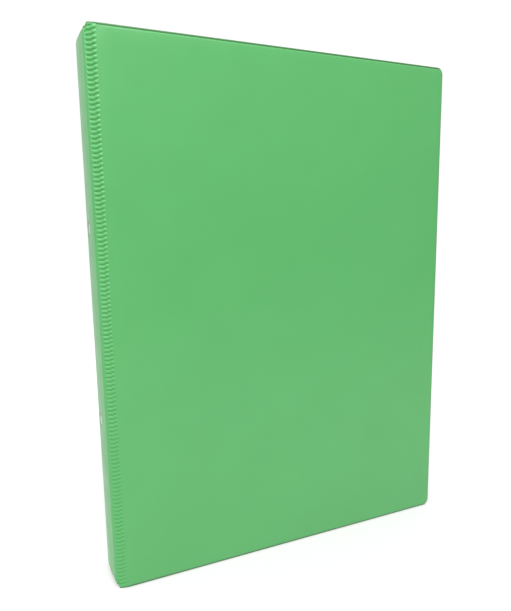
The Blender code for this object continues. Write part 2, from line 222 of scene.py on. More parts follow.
def shade_smooth(mesh, angle):
    """Smooth shading with creases sharper than angle, in degrees."""
    mesh.polygons.foreach_set("use_smooth", [True] * len(mesh.polygons))
    mesh.set_sharp_from_angle(angle=math.radians(angle))


def mesh_piece(name, points, faces, material, attributes=None):
    """A mesh object from points in millimetres, its faces outwards and smooth between creases."""
    mesh = bpy.data.meshes.new(name)
    mesh.from_pydata((np.asarray(points) * MM).tolist(), [], faces)
    for label, values in (attributes or {}).items():
        layer = mesh.attributes.new(label, "FLOAT", "POINT")
        layer.data.foreach_set("value", np.asarray(values, np.float32))
    bm = bmesh.new()
    bm.from_mesh(mesh)
    bmesh.ops.recalc_face_normals(bm, faces=bm.faces)
    if bm.calc_volume(signed=True) < 0:
        bmesh.ops.reverse_faces(bm, faces=bm.faces)
    bm.to_mesh(mesh)
    bm.free()
    shade_smooth(mesh, CREASE_ANGLE)
    mesh.materials.append(material)
    return add_object(name, mesh)


def grid_quads(index):
    """The four-sided faces of a grid of point numbers."""
    return np.stack([index[:-1, :-1], index[1:, :-1], index[1:, 1:], index[:-1, 1:]],
                    axis=-1).reshape(-1, 4)


def sheet_faces(shape):
    """Faces of a closed sheet: a grid of points, then the grid behind it, and walls between."""
    count = shape[0] * shape[1]
    index = np.arange(count).reshape(shape)
    rim = np.concatenate([index[0, :-1], index[:-1, -1], index[-1, :0:-1], index[:0:-1, 0]])
    after = np.roll(rim, -1)
    walls = np.stack([rim, after, after + count, rim + count], axis=-1)
    return np.concatenate([grid_quads(index), grid_quads(index + count)[:, ::-1], walls])


def slab(name, outer, inner, material, **grids):
    """A closed sheet between two grids of points of the same shape, with named attributes."""
    faces = sheet_faces(outer.shape[:2])
    points = np.concatenate([outer.reshape(-1, 3), inner.reshape(-1, 3)])
    attributes = {label: np.tile(values.ravel(), 2) for label, values in grids.items()}
    return mesh_piece(name, points, faces.tolist(), material, attributes=attributes)


def sweep(name, centres, across, up, radii, material, sides=24):
    """A closed tube with domed ends along centres; across and up span each cross-section."""
    angles = np.linspace(0, 2 * math.pi, sides, endpoint=False)
    rings = [c + r * (np.cos(angles)[:, None] * a + np.sin(angles)[:, None] * u)
             for c, a, u, r in zip(centres, across, up, radii)]
    points = np.concatenate(rings)
    index = np.arange(len(points)).reshape(len(rings), sides)
    following = np.roll(index, -1, axis=1)
    faces = np.stack([index[:-1], following[:-1], following[1:], index[1:]],
                     axis=-1).reshape(-1, 4).tolist()
    faces.append(index[0].tolist())
    faces.append(index[-1].tolist())
    return mesh_piece(name, points, faces, material)


def finish_piece(obj, slot_name, body, *nodes):
    """Attaches the piece to its body and hides the CAD nodes that it stands for; slot_name is not
    used.
    """
    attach(obj, body)
    if nodes:
        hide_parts(*nodes)
    return obj


# ---------------------------------------------------------------- materials

NOISE_LIMITS = (0.3, 0.7)
# How much darker the grooves between the ribs are painted: painted shade
GROOVE_PAINTED_SHADE = (0.45, 0.82, 0.5)


def tinted(colour, factor):
    """A colour times factor, at most white."""
    return tuple(min(1.0, c * factor) for c in colour)


def new_material(name):
    """A material, its node tree and its Principled shader."""
    material = bpy.data.materials.new(name)
    material.use_nodes = True
    return material, material.node_tree, material.node_tree.nodes["Principled BSDF"]


def add_noise(tree, scale, detail=3.0, stretch=(1.0, 1.0, 1.0)):
    """Noise in object space; scale is in features per metre."""
    nodes, links = tree.nodes, tree.links
    place = nodes.new("ShaderNodeTexCoord")
    mapping = nodes.new("ShaderNodeMapping")
    mapping.inputs["Scale"].default_value = stretch
    noise = nodes.new("ShaderNodeTexNoise")
    noise.inputs["Scale"].default_value = scale
    noise.inputs["Detail"].default_value = detail
    links.new(place.outputs["Object"], mapping.inputs["Vector"])
    links.new(mapping.outputs["Vector"], noise.inputs["Vector"])
    return noise.outputs["Fac"]


def range_node(tree, source, limits, values):
    """A map range node that turns the limits of source into values."""
    node = tree.nodes.new("ShaderNodeMapRange")
    for socket, value in zip(("From Min", "From Max", "To Min", "To Max"), (*limits, *values)):
        node.inputs[socket].default_value = value
    tree.links.new(source, node.inputs["Value"])
    return node


def noise_range(tree, noise, low, high):
    """Noise spread from low to high; most of its values lie within NOISE_LIMITS."""
    return range_node(tree, noise, NOISE_LIMITS, (low, high)).outputs["Result"]


def attribute_range(tree, name, start, end, low=0.0, high=1.0):
    """A mesh attribute as low at start to high at end."""
    source = tree.nodes.new("ShaderNodeAttribute")
    source.attribute_name = name
    return range_node(tree, source.outputs["Fac"], (start, end), (low, high)).outputs["Result"]


def mix_colours(tree, factor, first, second):
    """A colour mix; each colour is a constant or a socket."""
    node = tree.nodes.new("ShaderNodeMix")
    node.data_type = "RGBA"
    tree.links.new(factor, node.inputs["Factor"])
    for socket, colour in ((node.inputs["A"], first), (node.inputs["B"], second)):
        if isinstance(colour, bpy.types.NodeSocket):
            tree.links.new(colour, socket)
        else:
            socket.default_value = (*colour, 1.0)
    return node.outputs["Result"]


def add_bump(tree, shader, layers):
    """Chained bumps from (height socket, height in metres) pairs."""
    normal = None
    for height, distance in layers:
        bump = tree.nodes.new("ShaderNodeBump")
        bump.inputs["Strength"].default_value = 1.0
        bump.inputs["Distance"].default_value = distance
        tree.links.new(height, bump.inputs["Height"])
        if normal is not None:
            tree.links.new(normal, bump.inputs["Normal"])
        normal = bump.outputs["Normal"]
    tree.links.new(normal, shader.inputs["Normal"])


def pvc_material(name, colour, shade, roughness, grain):
    """Soft, welded PVC sheet. The weld attribute darkens it towards shade: painted shade along
    its welded edges and seams. rib runs from -1 in a groove, painted darker as shade, to 1 on
    a crest, painted lighter as a highlight."""
    material, tree, shader = new_material(name)
    clouds = noise_range(tree, add_noise(tree, 28.0), 0.0, 1.0)
    base = mix_colours(tree, clouds, colour, tinted(colour, 0.96))
    groove = tuple(c * factor for c, factor in zip(colour, GROOVE_PAINTED_SHADE))
    # Painted light: crests are painted lighter as a highlight, grooves and welds darker as shade
    for attribute, start, end, tint in (("rib", 0.1, 1.0, tinted(colour, 1.12)),
                                        ("rib", -0.1, -1.0, groove),
                                        ("weld", 0.0, 1.0, shade)):
        amount = attribute_range(tree, attribute, start, end)
        base = mix_colours(tree, amount, base, tint)
    tree.links.new(base, shader.inputs["Base Color"])
    tree.links.new(noise_range(tree, add_noise(tree, 90.0), roughness - 0.03, roughness + 0.05),
                   shader.inputs["Roughness"])
    shader.inputs["IOR"].default_value = 1.5
    add_bump(tree, shader, [(add_noise(tree, 2600.0, 2.0), grain),
                            (add_noise(tree, 260.0, 3.0), 0.00001)])
    return material


def steel_material(name, colour, roughness):
    """Plated steel with fine lengthwise drawing marks."""
    material, tree, shader = new_material(name)
    shader.inputs["Metallic"].default_value = 1.0
    patches = noise_range(tree, add_noise(tree, 150.0), 0.0, 1.0)
    tree.links.new(mix_colours(tree, patches, colour, tinted(colour, 0.93)),
                   shader.inputs["Base Color"])
    tree.links.new(noise_range(tree, add_noise(tree, 400.0), roughness - 0.03, roughness + 0.06),
                   shader.inputs["Roughness"])
    drawn = add_noise(tree, 3000.0, 2.0, (1.0, 1.0, 0.04))
    add_bump(tree, shader, [(drawn, 0.000004)])
    return material


def fibre_material(name, colour, roughness, fleck):
    """Card or greyboard: fibres in colour and surface."""
    material, tree, shader = new_material(name)
    fibres = noise_range(tree, add_noise(tree, 1800.0, 5.0, (1.0, 1.0, 0.35)), 0.0, 1.0)
    tree.links.new(mix_colours(tree, fibres, colour, tinted(colour, fleck)),
                   shader.inputs["Base Color"])
    shader.inputs["Roughness"].default_value = roughness
    add_bump(tree, shader, [(add_noise(tree, 2200.0, 2.0, (1.0, 1.0, 0.5)), 0.000012)])
    return material


def film_material(name):
    """Clear film, slightly wavy: nearly see-through on its face and milky at its welds."""
    material, tree, shader = new_material(name)
    weld = attribute_range(tree, "weld", 0.0, 1.0)
    tree.links.new(mix_colours(tree, weld, (0.07, 0.075, 0.08), (0.70, 0.73, 0.75)),
                   shader.inputs["Base Color"])
    tree.links.new(attribute_range(tree, "weld", 0.0, 1.0, 0.16, 0.9), shader.inputs["Alpha"])
    shader.inputs["IOR"].default_value = 2.0
    tree.links.new(noise_range(tree, add_noise(tree, 60.0), 0.12, 0.18),
                   shader.inputs["Roughness"])
    add_bump(tree, shader, [(add_noise(tree, 45.0, 2.0), 0.0003)])
    return material


GREEN = (0.094, 0.40, 0.122)
# The colour that welded edges and seams are painted towards: painted shade
GREEN_SHADE = (0.058, 0.22, 0.066)
COVER_PVC = pvc_material("cover_pvc", GREEN, GREEN_SHADE, 0.36, 0.000006)
LINING_PVC = pvc_material("lining_pvc", (0.092, 0.39, 0.118), GREEN_SHADE, 0.46, 0.00001)
RING_STEEL = steel_material("ring_steel", (0.74, 0.73, 0.70), 0.20)
RIVET_STEEL = steel_material("rivet_steel", (0.46, 0.49, 0.45), 0.24)
GREYBOARD = fibre_material("greyboard", (0.30, 0.27, 0.23), 0.9, 1.35)
LEAF_CARD = fibre_material("leaf_card", (0.012, 0.012, 0.013), 0.72, 1.5)
CLEAR_FILM = film_material("clear_film")


# ---------------------------------------------------------------- covers

EDGE_LINES = np.array([
    *np.linspace(0, FLANGE_WIDTH, 6),
    *(FLANGE_WIDTH + WALL_WIDTH * (1 - np.cos(np.linspace(0, math.pi / 2, 9)[1:]))),
    2.7, 3.3, 4.0, CORNER_RADIUS, 5.6, 7.2, 9.5, 13.0, 18.0,
])
HINGE_LINES = np.array([0.0, 0.12, 0.3, 0.5, 0.75, 1.0, 1.3, 1.6, 2.0, 2.5, 3.2, 4.5, 6.5,
                        9.0, 13.0, 18.0])


def cover_grid():
    """Grid lines of a cover panel as square x and z, before its fore corners are rounded."""
    across = merge_lines(HINGE_X + HINGE_LINES, FORE_X - EDGE_LINES,
                         spread(HINGE_X + HINGE_LINES[-1], FORE_X - EDGE_LINES[-1], GRID_STEP))
    up = merge_lines(EDGE_LINES, HEIGHT - EDGE_LINES,
                     spread(EDGE_LINES[-1], HEIGHT - EDGE_LINES[-1], GRID_STEP))
    return np.meshgrid(across, up, indexing="ij")


def round_corners(x, z):
    """Squeezes the square fore corners into quarter circles, keeping each line's inset."""
    a = np.clip(x - (FORE_X - CORNER_RADIUS), 0, None)
    low = np.clip(CORNER_RADIUS - z, 0, None)
    high = np.clip(z - (HEIGHT - CORNER_RADIUS), 0, None)
    b = np.maximum(low, high)
    reach = np.hypot(a, b)
    share = np.where(reach > 0, np.maximum(a, b) / np.where(reach > 0, reach, 1), 1.0)
    new_x = np.where(a > 0, FORE_X - CORNER_RADIUS + a * share, x)
    sign = np.where(high > 0, 1.0, -1.0)
    centre = np.where(high > 0, HEIGHT - CORNER_RADIUS, CORNER_RADIUS)
    new_z = np.where((a > 0) & (b > 0), centre + sign * b * share, z)
    return new_x, new_z


def cover_shape(x, z, seed):
    """Depth of a cover's outer surface and how much of it is weld, on the square grid; the weld
    is painted darker, as painted shade.
    """
    inset = np.minimum(np.minimum(FORE_X - x, z), HEIGHT - z)
    climb = np.clip((inset - FLANGE_WIDTH) / WALL_WIDTH, 0, 1)
    wall = FLANGE_DEPTH * (1 - np.sqrt(1 - (1 - climb) ** 2))
    bead = BEAD_HEIGHT * np.sin(np.clip(inset / FLANGE_WIDTH, 0, 1) * math.pi)
    roll = HINGE_DIP * (1 - np.clip((x - HINGE_X) / HINGE_ROLL, 0, 1)) ** 2
    inside = smooth((inset - FLANGE_WIDTH - WALL_WIDTH) / WAVE_REACH)
    board = smooth((x - HINGE_X) / BOARD_REACH)
    pillow = PILLOW * np.exp(-np.clip(inset - FLANGE_WIDTH - WALL_WIDTH, 0, None)
                             / PILLOW_REACH)
    waves = SURFACE_WAVE * inside * board * (0.5 + 0.5 * ripple(x, z, WAVE_LENGTH, seed))
    along = np.where(FORE_X - x < np.minimum(z, HEIGHT - z), z, x)
    near = smooth((inset - FLANGE_WIDTH) / 1.5) * smooth((9.0 - inset) / 7.0)
    pucker_wave = ripple(along, inset * 0.2, PUCKER_LENGTH, seed + 1)
    puckers = PUCKER * near * board * (0.5 + 0.5 * pucker_wave)
    face = wall + (pillow + waves + puckers) * (climb > 0)
    depth = np.where(wall > roll, face, roll + pillow + waves) - np.where(climb > 0, 0.0, bead)
    # Mask of the flange, which the colour darkens as painted shade
    weld = 1 - smooth((inset - FLANGE_WIDTH * 0.8) / 0.7)
    return depth, weld


def on_cover(side, x, depth, z):
    """Points at a depth in from a cover's outer face."""
    return np.stack([x, side * (HALF_DEPTH - depth), z], axis=-1)


def cover_skin(label, side):
    """A cover's outer PVC, stepped down at its edges to the welded flange."""
    square_x, square_z = cover_grid()
    depth, weld = cover_shape(square_x, square_z, COVER_SEEDS[label])
    x, z = round_corners(square_x, square_z)
    back = np.where(depth > FLANGE_DEPTH - 0.3, FLANGE_BACK, depth + SKIN)
    obj = slab(label + "_skin", on_cover(side, x, depth, z), on_cover(side, x, back, z),
               COVER_PVC, weld=weld)
    return finish_piece(obj, "cover_pvc", label + "_cover", label + "_outer_skin")


def cover_lining(label, side):
    """A cover's inner PVC, welded at its edges and drawn out to meet the hinge strip."""
    square_x, square_z = cover_grid()
    x, z = round_corners(square_x, square_z)
    inset = np.minimum(np.minimum(FORE_X - square_x, square_z), HEIGHT - square_z)
    flange = 1 - smooth((inset - FLANGE_WIDTH) / 0.9)
    wave = ripple(square_x, square_z, LINING_WAVE_LENGTH, LINING_SEED + side)
    waves = LINING_WAVE * (0.5 + 0.5 * wave)
    face = PANEL_DEPTH - 0.12 * flange - waves * (1 - flange)
    outer = (PANEL_DEPTH - LINING) - 0.18 * flange
    wrap = (1 - smooth((square_x - HINGE_X - 0.2) / 1.7)) * (1 - flange)
    face = face - wrap * (PANEL_DEPTH - STRIP_BACK - 0.15)
    outer = outer - wrap * (PANEL_DEPTH - LINING - STRIP_BACK + 0.15)
    # The lining's flange is painted darker through the weld attribute: painted shade
    obj = slab(label + "_inner_lining", on_cover(side, x, face, z),
               on_cover(side, x, outer, z), LINING_PVC, weld=flange * 0.6)
    return finish_piece(obj, "lining_pvc", label + "_cover", label + "_lining")


# ---------------------------------------------------------------- hinge strips

def worn_ends(z, top_drop, bottom_drop):
    """Heights drawn in near both ends, where the spine's corners are rounded off."""
    low = smooth(1 - z / WORN_REACH)
    high = smooth(1 - (HEIGHT - z) / WORN_REACH)
    return z + bottom_drop * low - top_drop * high


def rib_pattern(s, z):
    """Ridges across the strip as -1 in a groove to 1 on a crest: they step up half way over
    and are pressed flatter lower down."""
    stepped = RIB_STEP * smooth((s / STRIP_WIDTH - RIB_STEP_START) / RIB_STEP_WIDTH)
    phase = (HEIGHT - RIB_FIRST - z + stepped) / RIB_PITCH
    strength = RIB_LOW_SHARE + (1 - RIB_LOW_SHARE) * smooth((z / HEIGHT - 0.12) / 0.76)
    wave = -np.cos(2 * math.pi * phase) * strength
    sides = smooth(s / RIB_SPINE_TAPER) * smooth((STRIP_WIDTH - s) / RIB_COVER_TAPER)
    ends = smooth((z - RIB_END_MARGIN) / 0.8) * smooth((HEIGHT - RIB_END_MARGIN - z) / 0.8)
    return wave * sides * ends


def on_strip(side, s, n, z):
    """Points s along a strip from its spine axis and n in from the plane of its axes."""
    x = AXIS_A.x + s * math.cos(SLANT) + n * math.sin(SLANT)
    y = -AXIS_A.y + s * math.sin(SLANT) - n * math.cos(SLANT)
    return np.stack([x, side * y, z], axis=-1)


def strip_half(label, side, start, stop):
    """One half of a ribbed strip, between two distances from its spine axis."""
    s, z = np.meshgrid(np.linspace(start, stop, STRIP_COLUMNS),
                       spread(0, HEIGHT, RIB_PITCH / RIB_SAMPLES), indexing="ij")
    wave = rib_pattern(s, z)
    inset = np.minimum(z, HEIGHT - z)
    press = 1 - smooth((inset - 0.5) / 0.9)
    end_depth = STRIP_END_DEPTH * (0.4 + 0.6 * smooth(s / STRIP_WIDTH))
    front = STRIP_INSET + 0.1 * np.abs(wave) - RIB_HEIGHT * wave + end_depth * press
    share = 1 - smooth(s / STRIP_DROP_WIDTH)
    height = worn_ends(z, STRIP_TOP_DROP * share, STRIP_BOTTOM_DROP * share)
    valley = smooth((s - STRIP_WIDTH + VALLEY_WIDTH) / VALLEY_WIDTH) * (1 - press)
    front = front + (HINGE_DIP / math.cos(SLANT) - STRIP_INSET) * valley
    back = STRIP_BACK + 0.4 * RIB_HEIGHT * wave + 1.3 * press + 0.3 * valley
    # The strip's welded ends are painted darker through the weld attribute: painted shade
    painted_seam_shade = 1 - smooth((inset - 0.8) / 0.4)
    return slab(label, on_strip(side, s, front, height), on_strip(side, s, back, height),
                COVER_PVC, weld=painted_seam_shade, rib=wave)


def hinge_strip(label, side):
    """The strip in two halves, split half way across, in place of the CAD strip."""
    node = label + "_hinge_strip"
    middle = STRIP_WIDTH / 2
    spine_half = strip_half(label + "_ribs_spine_half", side, 0.0, middle)
    cover_half = strip_half(label + "_ribs_cover_half", side, middle, STRIP_WIDTH)
    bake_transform(spine_half)
    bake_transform(cover_half)
    for half in (spine_half, cover_half):
        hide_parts(node)


# ---------------------------------------------------------------- spine

def bow(y):
    """How far the spine's face stands out at y."""
    return SPINE_BOW * np.clip(1 - (y / SPINE_HALF) ** 2, 0, None)


def spine_path(inset):
    """Points (x, y) and normals from the front strip round to the back one, inset inwards."""
    corner = []
    for angle in np.linspace(SLANT, math.pi / 2, 12):
        direction = np.array([-math.sin(angle), -math.cos(angle)])
        centre = np.array([SPINE_EDGE_X + SPINE_CORNER, -SPINE_HALF])
        corner.append((centre + (SPINE_CORNER - inset) * direction, direction))
    face = []
    face_y = merge_lines(spread(-SPINE_HALF, SPINE_HALF, 1.0), spread(-7, 7, 0.4))[1:-1]
    for y in face_y:
        slope = 2 * SPINE_BOW * y / SPINE_HALF ** 2
        normal = np.array([-1.0, slope]) / math.hypot(1, slope)
        face.append((np.array([SPINE_EDGE_X - float(bow(y)), y]) - normal * inset, normal))
    back = [(p * (1, -1), n * (1, -1)) for p, n in reversed(corner)]
    return zip(*(corner + face + back))


def spine_height(y, z):
    """Heights on the spine, whose ends stop short of the covers' ends."""
    middle = smooth((SPINE_HALF + 1.6 - np.abs(y)) / 2.5)
    return worn_ends(z, STRIP_TOP_DROP + (SPINE_TOP_DROP - STRIP_TOP_DROP) * middle,
                     STRIP_BOTTOM_DROP + (SPINE_BOTTOM_DROP - STRIP_BOTTOM_DROP) * middle)


def spine_skin():
    """The outer PVC of the spine, pressed in round each rivet head and closed at its ends."""
    points, normals = (np.array(v) for v in spine_path(0.0))
    ends = np.array([0, 0.25, 0.5, 0.8, 1.1, 1.4, 1.8, 2.3, 3.0, 4.0, 6.0])
    levels = [middle_height(name) for name in RIVETS]
    around = [spread(level - RIVET_GRID_REACH, level + RIVET_GRID_REACH, 0.4)
              for level in levels]
    z_lines = merge_lines(ends, HEIGHT - ends, *around, spread(6, HEIGHT - 6, 3.0))
    rows, z = np.meshgrid(np.arange(len(points)), z_lines, indexing="ij")
    y = points[rows][..., 1]
    middle = smooth((SPINE_HALF + 0.4 - np.abs(y)) / 2.5)
    inset = np.minimum(z, HEIGHT - z)
    press = 1 - smooth((inset - SPINE_END_WIDTH) / 0.9)
    depth = press * SPINE_END_DEPTH * (0.8 + 0.2 * middle)
    for level in levels:
        away = np.hypot(y, z - level)
        rim = (RIVET_DIMPLE_RADIUS - away) / (RIVET_DIMPLE_RADIUS - RIVET_PRESS_RADIUS)
        depth = depth + RIVET_PRESS * smooth(rim)
    depth = depth + SPINE_WAVE * middle * (1 - press) * (0.5 + 0.5 * ripple(y, z, 22.0, 5))
    height = spine_height(y, z)
    at_corner = smooth(np.abs(y) - SPINE_HALF + 1)
    closure = END_CLOSURE - (END_CLOSURE - SPINE_CORNER + 0.06) * at_corner
    closed = smooth((1.4 - inset) / 0.5)
    inner = depth + SKIN + closed * (closure - depth - SKIN)

    def at(inwards):
        """The grid's points at a distance inwards from the spine's outer face."""
        flat = points[rows] - normals[rows] * inwards[..., None]
        return np.concatenate([flat, height[..., None]], axis=-1)

    # The spine's welded ends are painted darker through the weld attribute: painted shade
    weld = 1 - smooth((inset - 0.4) / 0.5)
    obj = slab("spine_skin", at(depth), at(inner), COVER_PVC, weld=weld)
    return finish_piece(obj, "cover_pvc", "spine", "spine_outer_skin")


def spine_stiffener():
    """The greyboard in the spine, bowed as the skin is."""
    low, high = corners("spine_board")
    y, z = np.meshgrid(spread(low[1], high[1], 1.0),
                       spread(low[2] + BOARD_SHORTENED, high[2] - BOARD_SHORTENED, 6.0),
                       indexing="ij")
    x = SPINE_EDGE_X - bow(y) + BOARD_DEPTH
    outer = np.stack([x, y, z], axis=-1)
    inner = np.stack([x + BOARD_THICKNESS, y, z], axis=-1)
    obj = slab("spine_stiffener", outer, inner, GREYBOARD)
    return finish_piece(obj, "greyboard", "spine", "spine_board")


def spine_lining():
    """The PVC inside the spine, its edges turned out to meet the backs of the strips."""
    high = corners("spine_lining")[1]
    flat_half = high[1]
    turn = LINING_TURN
    y_lines = merge_lines(spread(-flat_half - turn, flat_half + turn, 0.8),
                          flat_half + turn * np.linspace(0, 1, 6),
                          -flat_half - turn * np.linspace(0, 1, 6))
    y, z = np.meshgrid(y_lines, spread(0.5, HEIGHT - 0.5, 3.0), indexing="ij")
    past = np.clip((np.abs(y) - flat_half) / turn, 0, 1)
    x = high[0] - bow(y) - 0.95 * past ** 1.6
    x = x - 0.06 * (0.5 + 0.5 * ripple(y, z, 25.0, 8))
    height = spine_height(y, z)
    inner = np.stack([x, y, height], axis=-1)
    outer = np.stack([x - LINING, y - np.sign(y) * 0.2 * past, height], axis=-1)
    obj = slab("spine_inner_lining", inner, outer, LINING_PVC)
    return finish_piece(obj, "lining_pvc", "spine", "spine_lining")


# ---------------------------------------------------------------- ring mechanism

def lathe(name, profile, level, material, steps=64):
    """A turned piece about an X axis; profile is (radius, x) from one end to the other."""
    radii = np.array([max(r, 0.02) for r, _ in profile])
    centres = np.array([[x, 0.0, level] for _, x in profile])
    across = np.tile([0.0, 1.0, 0.0], (len(profile), 1))
    up = np.tile([0.0, 0.0, 1.0], (len(profile), 1))
    return sweep(name, centres, across, up, radii, material, steps)


def rivet(name):
    """A rivet turned from its domed head, down its shank, to the rolled collar inside."""
    low, high = corners(name)
    start, end = low[0], high[0]
    dome = [(RIVET_HEAD * math.sin(a), start + RIVET_DOME * (1 - math.cos(a)))
            for a in np.linspace(0, math.pi / 2, 12)]
    edge = [(RIVET_HEAD, start + RIVET_DOME + RIVET_DOME * t) for t in np.linspace(0.2, 1, 4)]
    shank = [(2.9, start + 0.8), (2.05, start + 0.85), (2.0, start + 1.4), (2.0, end - 0.95)]
    collar = [(2.9, end - 0.8), (3.15, end - 0.65), (3.2, end - 0.45), (3.05, end - 0.2),
              (2.7, end - 0.04), (2.2, end), (1.5, end - 0.06), (1.1, end - 0.3),
              (0.6, end - 0.4), (0.0, end - 0.42)]
    profile = dome + edge + shank + collar
    obj = lathe(name + "_turned", profile, middle_height(name), RIVET_STEEL)
    return finish_piece(obj, "rivet_steel", "spine", name)


def polished_copy(node, body, width):
    """A copy of a CAD piece with its facets merged and its edges broken, width wide."""
    mesh = frame["nodes"][node].data.copy()
    mesh.materials.clear()
    mesh.materials.append(RING_STEEL)
    bm = bmesh.new()
    bm.from_mesh(mesh)
    bmesh.ops.remove_doubles(bm, verts=bm.verts, dist=0.000002)
    bmesh.ops.dissolve_limit(bm, angle_limit=math.radians(1.0), verts=bm.verts, edges=bm.edges)
    creases = [e for e in bm.edges if e.is_manifold and e.calc_face_angle() > math.radians(50)]
    bmesh.ops.bevel(bm, geom=creases, offset=width * MM, offset_type="OFFSET", segments=2,
                    profile=0.5, affect="EDGES", clamp_overlap=True)
    bm.to_mesh(mesh)
    bm.free()
    shade_smooth(mesh, 35)
    return finish_piece(add_object(node + "_polished", mesh), "ring_steel", body, node)


def ring_wire(level, label, side):
    """Half a ring: from its domed tip round the arc and down into the blade."""
    node = f"{level}_ring_{label}"
    low = corners(node)[0]
    height = middle_height(node)
    start = RING_TIP_GAP / 2 / RING_RADIUS
    centre = np.array([RING_CENTRE.x, 0.0, height])
    arc = [centre + RING_RADIUS * np.array([math.cos(a), side * math.sin(a), 0.0])
           for a in np.linspace(start, RING_END_ANGLE, 56)]
    foot_top = np.array([low[0] + 2.2, side * RING_FOOT_Y, height])
    foot = np.array([low[0], side * RING_FOOT_Y, height])
    bend = []
    for t in np.linspace(0.12, 1, 10):
        bend.append((1 - t) ** 2 * arc[-1] + 2 * t * (1 - t) * (arc[-1] * 0.35 + foot_top * 0.65)
                    + t * t * (foot_top * 0.6 + foot * 0.4))
    path = np.array(arc + bend + [foot])
    tangent = np.gradient(path, axis=0)
    tangent /= np.linalg.norm(tangent, axis=1)[:, None]
    up = np.tile([0.0, 0.0, 1.0], (len(path), 1))
    across = np.cross(tangent, up)
    tip = [path[0] + tangent[0] * distance for distance in (0.0, 0.08, 0.22)]
    path = np.concatenate([tip, path[1:]])
    across = np.concatenate([across[:1].repeat(3, 0), across[1:]])
    up = up[:1].repeat(len(path), 0)
    radii = np.full(len(path), WIRE_RADIUS)
    radii[:4] *= TIP_DOME
    obj = sweep(node + "_wire", path, across, up, radii, RING_STEEL, 28)
    return finish_piece(obj, "ring_steel", "ring_" + label, node)


# ---------------------------------------------------------------- leaves

def card_outline(spline, points):
    """Makes a curve's spline a closed outline through points (x, z)."""
    spline.points.add(len(points) - 1)
    spline.use_cyclic_u = True
    for point, (x, z) in zip(spline.points, points):
        point.co = (x * MM, z * MM, 0, 1)


def leaf_card(index):
    """A card with rounded corners, two punched holes and softly pressed edges."""
    node = f"leaf_{index}_card"
    low, high = corners(node)
    outline = []
    left, right = low[0] + LEAF_CORNER, high[0] - LEAF_CORNER
    bottom, top = low[2] + LEAF_CORNER, high[2] - LEAF_CORNER
    centres = ((right, top), (left, top), (left, bottom), (right, bottom))
    for quarter, (centre_x, centre_z) in enumerate(centres):
        for a in np.linspace(0, math.pi / 2, 9) + quarter * math.pi / 2:
            outline.append((centre_x + LEAF_CORNER * math.cos(a),
                            centre_z + LEAF_CORNER * math.sin(a)))
    curve = bpy.data.curves.new(node, "CURVE")
    curve.dimensions = "2D"
    curve.fill_mode = "BOTH"
    curve.bevel_depth = LEAF_EDGE * MM
    curve.bevel_resolution = 1
    curve.offset = -LEAF_EDGE * MM
    curve.extrude = ((high[1] - low[1]) / 2 - LEAF_EDGE) * MM
    card_outline(curve.splines.new("POLY"), outline)
    for label in ("upper", "lower"):
        level = middle_height(f"{label}_ring_front")
        circle = [(low[0] + HOLE_MARGIN + HOLE_RADIUS * math.cos(a),
                   level + HOLE_RADIUS * math.sin(a))
                  for a in np.linspace(0, 2 * math.pi, 40, endpoint=False)]
        card_outline(curve.splines.new("POLY"), circle)
    maker = add_object(node + "_maker", curve)
    bpy.context.view_layer.update()
    mesh = bpy.data.meshes.new_from_object(
        maker.evaluated_get(bpy.context.evaluated_depsgraph_get()))
    bpy.data.objects.remove(maker)
    middle = (low[1] + high[1]) / 2
    turn = Matrix.Translation((0, middle * MM, 0)) @ Matrix.Rotation(math.pi / 2, 4, "X")
    mesh.transform(turn)
    mesh.materials.clear()
    mesh.materials.append(LEAF_CARD)
    mesh.name = node + "_cut"
    return finish_piece(add_object(node + "_cut", mesh), "leaf_card", f"leaf_{index}", node)


def pocket_strips(index, label, side):
    """Seven clear pocket strips, welded to the card along their lower edges and ends."""
    node = f"leaf_{index}_{label}_strips"
    card_low, card_high = corners(f"leaf_{index}_card")
    low, high = corners(node)
    surface = card_high[1] if side > 0 else card_low[1]
    pitch = (high[2] - low[2]) / STRIPS
    all_points, all_faces, all_welds = [], [], []
    for row in range(STRIPS):
        z0 = low[2] + pitch * row + STRIP_SLOT / 2
        z1 = low[2] + pitch * (row + 1) - STRIP_SLOT / 2
        x_lines = merge_lines(low[0] + np.array([0, 0.6, 1.2, 2.0, 3.2, 6.0]),
                              high[0] - np.array([0, 0.6, 1.2, 2.0, 3.2, 6.0]),
                              spread(low[0] + 6, high[0] - 6, 12.0))
        z_lines = merge_lines(z0 + np.array([0, 0.4, 0.8, 1.3, 2.0, 3.5]), z1 - 0.3, z1,
                              spread(z0 + 3.5, z1 - 0.3, 6.0))
        x, z = np.meshgrid(x_lines, z_lines, indexing="ij")
        weld = np.minimum(smooth((z - z0 - 0.8) / 2.0),
                          smooth(np.minimum(x - low[0] - 1.0, high[0] - 1.0 - x) / 1.6))
        swell = 0.02 + 0.17 * weld + 0.02 * weld * ripple(x, z, 35.0, index * 20 + row)
        near = np.stack([x, surface + side * swell, z], axis=-1)
        far = np.stack([x, surface + side * (swell + FILM), z], axis=-1)
        base = sum(len(p) for p in all_points)
        all_faces += (sheet_faces(x.shape) + base).tolist()
        all_points += [near.reshape(-1, 3), far.reshape(-1, 3)]
        all_welds += [0.6 * (1 - weld).ravel()] * 2
    obj = mesh_piece(node + "_clear", np.concatenate(all_points), all_faces, CLEAR_FILM,
                     attributes={"weld": np.concatenate(all_welds)})
    return finish_piece(obj, "clear_film", f"leaf_{index}", node)


# ---------------------------------------------------------------- assembly

for side_label in SIDES:
    cad_object = frame["nodes"][side_label + "_board"]
    cad_object.data.materials.clear()
    cad_object.data.materials.append(GREYBOARD)

